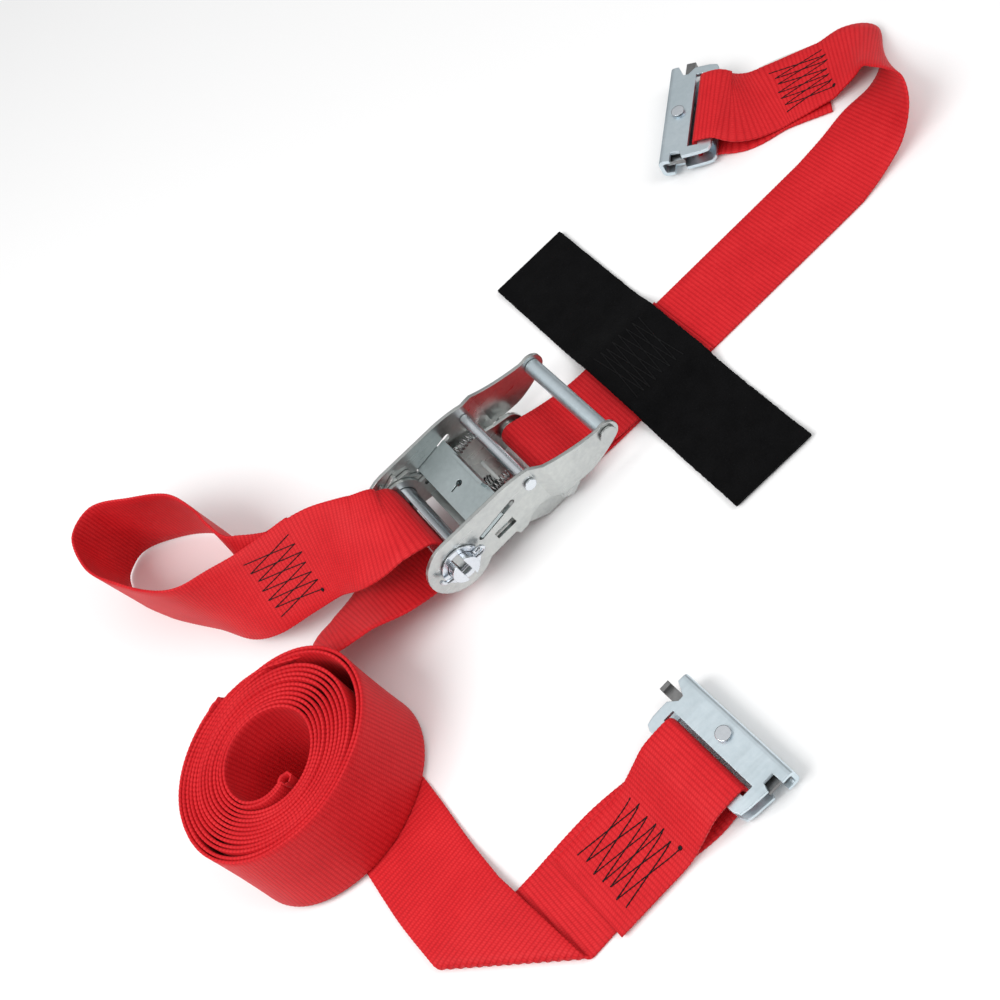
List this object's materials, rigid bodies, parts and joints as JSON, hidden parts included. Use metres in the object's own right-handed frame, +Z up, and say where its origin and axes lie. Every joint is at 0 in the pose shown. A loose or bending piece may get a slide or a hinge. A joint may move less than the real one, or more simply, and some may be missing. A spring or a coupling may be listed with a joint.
{
  "type": "ratchet strap",
  "caption": "Short wide-handle ratchet buckle with a folded fixed strap end, a rolled long strap and a spring latch track fitting on each end.",
  "frame": {"origin": "middle of the laid-out plan, on the ground plane the webbing rests on", "axes": "+Z up from the ground; +X along the ratchet from the spindle to the grip; +Y to the left of it"},
  "size_m": [0.5574, 0.4061, 0.0606],
  "materials": {
    "webbing_red": "woven polyester webbing",
    "loop_black": "brushed loop tape",
    "label_white": "blank woven label",
    "zinc_plate": "bright zinc plate",
    "zinc_bright": "bright zinc plate",
    "zinc_blue": "blue passivated zinc",
    "spring_steel": "dark spring steel"
  },
  "bodies": {
    "frame": {"frame": "zinc_plate", "frame_bolt": "zinc_plate", "frame_bolt_nut": "zinc_plate", "lock_pawl_spring": "spring_steel", "fixed_strap": "webbing_red", "hook_and_loop_tie": "loop_black", "blank_label": "label_white", "long_strap_roll": "webbing_red", "long_strap_to_fitting": "webbing_red", "long_strap_to_ratchet": "webbing_red", "strap_tail": "webbing_red", "fitting_1_body": "zinc_blue", "fitting_1_rivet": "zinc_bright", "fitting_1_spring": "spring_steel", "fitting_2_body": "zinc_blue", "fitting_2_rivet": "zinc_bright", "fitting_2_spring": "spring_steel"},
    "handle": {"handle_plate_near": "zinc_plate", "drive_pawl_spring_near": "spring_steel", "handle_plate_far": "zinc_plate", "drive_pawl_spring_far": "spring_steel", "grip_tube": "zinc_blue", "grip_pin": "zinc_plate", "handle_cross_bar": "zinc_bright"},
    "spindle": {"spindle_half_front": "zinc_bright", "spindle_half_back": "zinc_bright", "ratchet_wheel_near": "zinc_plate", "spindle_washer_near": "zinc_bright", "cotter_pin_near": "zinc_bright", "ratchet_wheel_far": "zinc_plate", "spindle_washer_far": "zinc_bright", "cotter_pin_far": "zinc_bright", "strap_in_spindle": "webbing_red"},
    "drive_pawl": {"drive_pawl": "zinc_blue"},
    "lock_pawl": {"lock_pawl": "zinc_blue"},
    "latch_1": {"fitting_1_latch": "spring_steel"},
    "latch_2": {"fitting_2_latch": "spring_steel"}
  },
  "joints": [
    {"name": "handle_swing", "type": "hinge", "parent": "frame", "child": "handle", "pos_m": [-0.0932, 0.0265, 0.03], "axis": [0, -1, 0], "range_deg": [0, 80]},
    {"name": "spindle_turn", "type": "hinge", "parent": "frame", "child": "spindle", "pos_m": [-0.0932, 0.0265, 0.03], "axis": [0, -1, 0], "continuous": true},
    {"name": "drive_pawl_slide", "type": "slide", "parent": "handle", "child": "drive_pawl", "axis": [0.9877, 0, 0.1564], "range_m": [0, 0.005], "stiffness_N_per_m": 900, "springref_m": -0.004, "deforming": ["drive_pawl_spring_near", "drive_pawl_spring_far"]},
    {"name": "lock_pawl_slide", "type": "slide", "parent": "frame", "child": "lock_pawl", "axis": [0.9848, 0, -0.1736], "range_m": [0, 0.004], "stiffness_N_per_m": 900, "springref_m": -0.004, "deforming": ["lock_pawl_spring"]},
    {"name": "latch_1_slide", "type": "slide", "parent": "frame", "child": "latch_1", "axis": [-0.7314, -0.682, 0], "range_m": [0, 0.006], "stiffness_N_per_m": 600, "springref_m": -0.004, "deforming": ["fitting_1_spring"]},
    {"name": "latch_2_slide", "type": "slide", "parent": "frame", "child": "latch_2", "axis": [0.0436, -0.999, 0], "range_m": [0, 0.006], "stiffness_N_per_m": 600, "springref_m": -0.004, "deforming": ["fitting_2_spring"]}
  ]
}
